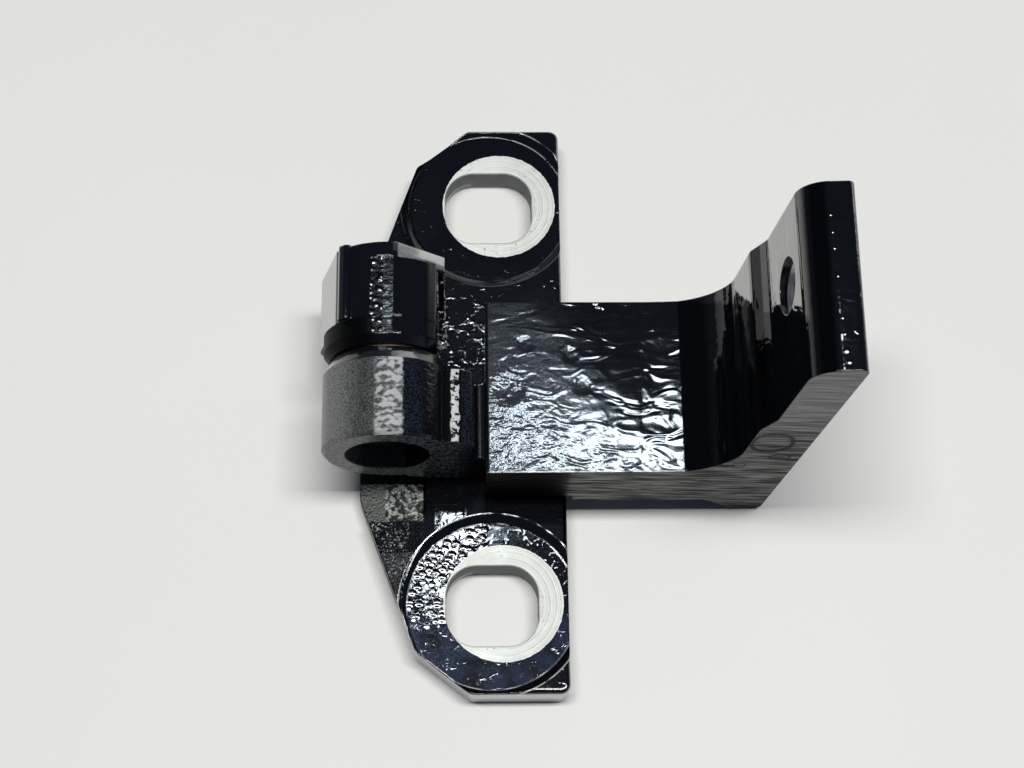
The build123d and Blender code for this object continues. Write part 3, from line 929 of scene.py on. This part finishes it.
def painted_strip_highlight(g, on):
    """A painted highlight along the web's crest, in a ragged, broken strip."""
    astray = g.plus(on.x, g.times(g.noise(1.3, 2), 0.8))
    strip = g.both(g.near(astray, STRIP_X, 0.72, 0.55), on.web, g.step(on.z, 24.8, 25.0))
    return g.both(strip, patches(g, 0.9, 0.43, 0.50))


def painted_edge_highlight(g, on):
    """A painted highlight along the arm's upper front edge."""
    edge = g.both(
        g.step(on.y, FRONT_Y - 0.05, FRONT_Y - 0.25),
        g.step(on.z, 17.5, 18.5),
        g.step(on.x, -1.0, 0.0),
        g.step(on.x, 31.0, 30.0),
        g.step(on.facing_y, -0.75, -0.55),
    )
    return g.both(edge, patches(g, 2.5, 0.36, 0.46, detail=3))


def door_colour(g, on, shine):
    """Black with a blue tint where the coat is hazy, partly a painted sheen, then the sawn ends, the knuckle's
    skin and painted highlights.
    """
    on_arm = g.step(on.x, -0.5, 0.5)
    haze = g.both(on.haze, on_arm, patches(g, 7, 0.35, 0.65, detail=3))
    # blue tint in patches where the coat is hazy, partly a painted sheen
    colour = g.paint(haze, BLACK, ARM_HAZE_AND_SHEEN)
    colour = g.paint(on.sawn, colour, sawn_colour(g, on, shine))
    colour = g.paint(on.dusty, colour, knuckle_skin(g, on))
    colour = g.paint(blue_speckle(g, on), colour, BLUE_SPECKS)
    # painted highlight on the web's crest
    colour = g.paint(painted_strip_highlight(g, on), colour, STRIP_HIGHLIGHT)
    blots = patches(g, 0.75, 0.42, 0.60, detail=3, rough=0.6)
    front_end = g.both(on.knuckle, g.step(on.facing_y, -0.85, -0.95), g.step(on.x, -3.0, -7.0))
    colour = g.paint(front_end, colour, g.paint(blots, *BLOTCHED))
    # painted highlight on the arm's upper front edge
    return g.paint(painted_edge_highlight(g, on), colour, EDGE_HIGHLIGHT)


print("thick dust", FAR_LEFT_DUST[1][:3], "rubbed strip", STRIP_HIGHLIGHT[:3])

# %% [markdown]
# Painted shade takes the shine off the step beside the web, the sawn end over the plate,
# and the flange's inner side below a ragged line, its ledge and its upper corner. The
# ragged line is a slope with some noise added to it: where the sum passes a number,
# the painted shade ends.
# slope with some noise added to it: where the sum passes a number, the soot ends.

# %% Painted shade on the door leaf


def door_painted_shade(g, on):
    """Painted shade: where the door leaf's paint is given next to no shine."""
    x, y, z = on.x, on.y, on.z
    by_web = g.both(
        g.near(x, STEP_X, 1.1, 0.9),
        on.low_step,
        g.step(y, CHAMFER_Y, CHAMFER_Y - 0.2),
        g.step(y, FRONT_Y - 0.2, FRONT_Y),
    )
    over_plate = g.both(on.sawn, g.step(x, 12.7, 11.9), g.step(y, -15.0, -16.0), 0.85)
    inner = g.both(
        g.step(on.facing_x, -0.15, -0.35),
        g.step(x, FLANGE_X, FLANGE_X + 3.0),
        g.step(z, FLANGE_Z + 1.0, FLANGE_Z),
    )
    leaning = g.times(g.plus(z, -34.0), 0.5)
    line = g.plus(y, leaning, g.times(g.noise(1.6, 2, twist=0.5), 3.0))
    below = g.both(g.step(line, 6.6, 6.0), 0.55)
    ledge = g.both(g.step(z, 38.1, 38.5), g.step(z, 42.2, 41.8), 0.8)
    corner = g.both(
        g.step(on.facing_z, 0.45, 0.60),
        g.step(on.facing_x, -0.15, -0.3),
        g.step(z, 58.0, 60.0),
        0.65,
    )
    return g.most(by_web, over_plate, g.both(inner, g.most(below, ledge)), corner)


print("soot beside the web at", STEP_X, "and on the flange from", FLANGE_X)

# %% [markdown]
# Under the coat the base is rougher where there is haze: the coat gives the sharp
# white streaks and the base their soft blue-grey glow. That is how two layers of
# varnish look, and one layer of middling roughness gives neither. The knuckle has no
# coat, and the sawn ends have some of it only where they kept their shine.

# %% Paint of the door leaf


def door_material():
    """Gloss black on a rolled bar, dusty at the knuckle and sawn at the ends."""
    g = Surface("door_black")
    on = door_places(g)
    ragged = g.plus(on.x, g.noise(0.9, 2))
    on.dusty = g.both(on.turned, g.step(ragged, DUST_X + 0.75, DUST_X + 0.35))
    coat, base = door_relief(g, on)
    edges = g.soft_edges(0.28)
    shine = sawn_shine(g, on)
    # painted shade: these places are made to mirror next to nothing
    painted_shade = door_painted_shade(g, on)
    rough = g.blend(on.knuckle, g.blend(on.haze, 0.06, 0.26), g.blend(on.low_step, 0.15, 0.26))
    rough = g.blend(on.sawn, rough, g.blend(shine, 0.90, 0.34))
    rough = g.blend(on.dusty, rough, 0.30)
    coated = g.blend(on.knuckle, g.blend(on.sawn, 1.0, g.both(shine, 0.4)), 0.0)
    return g.finish(
        Base_Color=door_colour(g, on, shine),
        Specular_IOR_Level=0.35,
        Metallic=painted_shade,
        Roughness=rough,
        Normal=g.bump(base, 1.0, edges),
        Coat_Weight=g.both(coated, g.without(painted_shade)),
        Coat_Roughness=COAT_ROUGHNESS,
        Coat_Normal=g.bump(coat, 1.0, edges),
    )


door_paint = door_material()
print("door paint", len(door_paint.node_tree.nodes), "nodes")

# %% [markdown]
# The inner pieces are bare metal: a ground pin, dark spring steel and sintered bronze.
# Ground steel has fine lines round its axis, so a pattern is squeezed along Y: noise
# that is short along the pin and long across it reads as lines. Real brushed metal
# could use the shader's anisotropy too, but these pieces are small and mostly hidden.
# Bronze is pressed from powder, and a fine cell pattern darkens its pores.

# %% Bare metals
pin_low, pin_high = (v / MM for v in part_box("hinge_pin"))
DIP = 3.2  # how far the pin's ends were dipped in paint


def ground_lines(g):
    """Fine lines round the pin's axis, from 0 to 1."""
    return g.noise(0.12, 2, vector=g.scaled(g.point, (0.06, 1.0, 0.06)))


def ground_steel(name, level, rough_low, rough_high):
    """Steel with fine grinding lines round the pin's axis and a thin film of oil."""
    g = Surface(name)
    lines = ground_lines(g)
    film = g.noise(3.0, 3)
    colour = g.paint(lines, grey(level * 0.75), grey(level * 1.15))
    colour = g.paint(g.step(film, 0.55, 0.75, 0.0, 0.5), colour, grey(level * 0.45, 0.1))
    rough = g.blend(film, rough_low, rough_high)
    return g.finish(Base_Color=colour, Metallic=1.0, Roughness=rough, Normal=g.bump(lines, 0.004))


def painted_pin():
    """The pin's ends were dipped with the hinge; its shank between them is ground steel."""
    g = Surface("pin_dipped")
    middle = (pin_low.y + pin_high.y) / 2
    half = (pin_high.y - pin_low.y) / 2
    from_middle = g.maths("ABSOLUTE", g.maths("SUBTRACT", g.parts(g.point)[1], middle))
    dipped = g.step(from_middle, half - DIP, half - DIP + 0.3)
    lines = ground_lines(g)
    colour = g.paint(dipped, g.paint(lines, grey(0.38), grey(0.56)), BLACK)
    rough = g.blend(dipped, g.blend(lines, 0.20, 0.30), g.blend(g.noise(1.5, 2), 0.16, 0.34))
    skin = g.bump(g.both(grains(g, 0.8, 0.03), dipped), 1.0)
    return g.finish(Base_Color=colour, Metallic=g.without(dipped), Roughness=rough, Normal=skin)


def sintered_bronze():
    """Pressed bronze powder: dull gold with a patina and dark pores."""
    g = Surface("sintered_bronze")
    pores = g.step(g.cells(0.22), 0.10, 0.30)
    patina = g.noise(2.2, 3)
    metal = g.paint(patina, (0.42, 0.31, 0.17, 1), (0.58, 0.47, 0.30, 1))
    colour = g.paint(pores, (0.10, 0.08, 0.06, 1), metal)
    rough = g.blend(patina, 0.28, 0.48)
    return g.finish(Base_Color=colour, Metallic=0.9, Roughness=rough, Normal=g.bump(pores, 0.01))


print("pin from", round(pin_low.y, 2), "to", round(pin_high.y, 2), "mm along the axis")

# %% [markdown]
# Each CAD piece is one stuff all over, so it gets one material. It could have one for
# each kind of surface, but the masks do that already. Pieces of the same stock share a
# material, as the two bushes do: a change to it then reaches both. The CAD's own plain
# colours are taken off first.

# %% Put the finishes on the nodes
dark_steel = ground_steel("spring_steel", 0.22, 0.25, 0.42)
bronze = sintered_bronze()
finishes = {
    "pillar_leaf": pillar_paint,
    "door_leaf": door_paint,
    "hinge_pin": painted_pin(),
    "retaining_washer": ground_steel("ground_steel", 0.50, 0.18, 0.34),
    "disc_spring": dark_steel,
    "circlip": dark_steel,
    "upper_bush": bronze,
    "lower_bush": bronze,
}
for name, finish in finishes.items():
    mesh = nodes[name].data
    mesh.materials.clear()
    mesh.materials.append(finish)
print("dressed", len(finishes), "nodes with", len(bpy.data.materials), "materials")

# %% [markdown]
# The tapped hole in the flange takes the door's bolt. The frame has its plain core;
# the thread itself is a ridge wound inside it. A tap's tooth goes round the hole's axis
# and one pitch further with each turn. A Screw modifier could follow that path, but
# bmesh.ops.spin with a step along the axis (dvec) makes a plain mesh at once. The
# ridge's foot lies just under the hole's wall, so that no gap shows, and its ends are
# closed.

# %% Thread of the tapped hole
tap = next(m for m in frame["record"]["mounts"] if m["name"] == "door_tap")
tap_axis = Vector(tap["axis"]).normalized()
tap_centre = Vector(tap["pos_m"])
tap_core = tap["dims"]["r_mm"] * MM
tap_length = tap["dims"]["length_mm"] * MM
PITCH = 1.5 * MM
CREST = 0.42 * MM  # how far the ridge stands out of the wall
FOOT = 0.06 * MM  # and how deep its foot lies in it
HALF_CREST = 0.06  # half its width at the crest and at the foot, in pitches
HALF_FOOT = 0.46
BARE_ENDS = 1.3  # pitches of the hole that stay plain, both ends together
STEPS_A_TURN = 40


def wound_ridge(name, material):
    """A closed helical ridge inside the tapped hole."""
    outward = tap_axis.cross(Vector((0, 1, 0))).normalized()
    turns = (tap_length - BARE_ENDS * PITCH) / PITCH
    start = tap_centre - tap_axis * (turns * PITCH / 2)
    section = (
        (FOOT, -HALF_FOOT),
        (-CREST, -HALF_CREST),
        (-CREST, HALF_CREST),
        (FOOT, HALF_FOOT),
    )
    shape = bmesh.new()
    corners = []
    for deeper, further in section:
        corner = start + outward * (tap_core + deeper) + tap_axis * PITCH * further
        corners.append(shape.verts.new(corner))
    edges = [shape.edges.new((a, b)) for a, b in zip(corners, corners[1:] + corners[:1])]
    steps = round(turns * STEPS_A_TURN)
    bmesh.ops.spin(
        shape,
        geom=corners + edges,
        cent=tap_centre,
        axis=tap_axis,
        dvec=tap_axis * (turns * PITCH / steps),
        angle=turns * math.tau,
        steps=steps,
    )
    open_edges = [e for e in shape.edges if e.is_boundary]
    bmesh.ops.holes_fill(shape, edges=open_edges, sides=len(section))
    bmesh.ops.recalc_face_normals(shape, faces=shape.faces)
    mesh = bpy.data.meshes.new(name)
    shape.to_mesh(mesh)
    shape.free()
    mesh.materials.append(material)
    made = bpy.data.objects.new(name, mesh)
    scene.collection.objects.link(made)
    return made


thread = wound_ridge("tap_thread", ground_steel("thread_steel", 0.52, 0.28, 0.48))
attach(thread, "door_side")
print("thread", len(thread.data.polygons), "faces")

# %% [markdown]
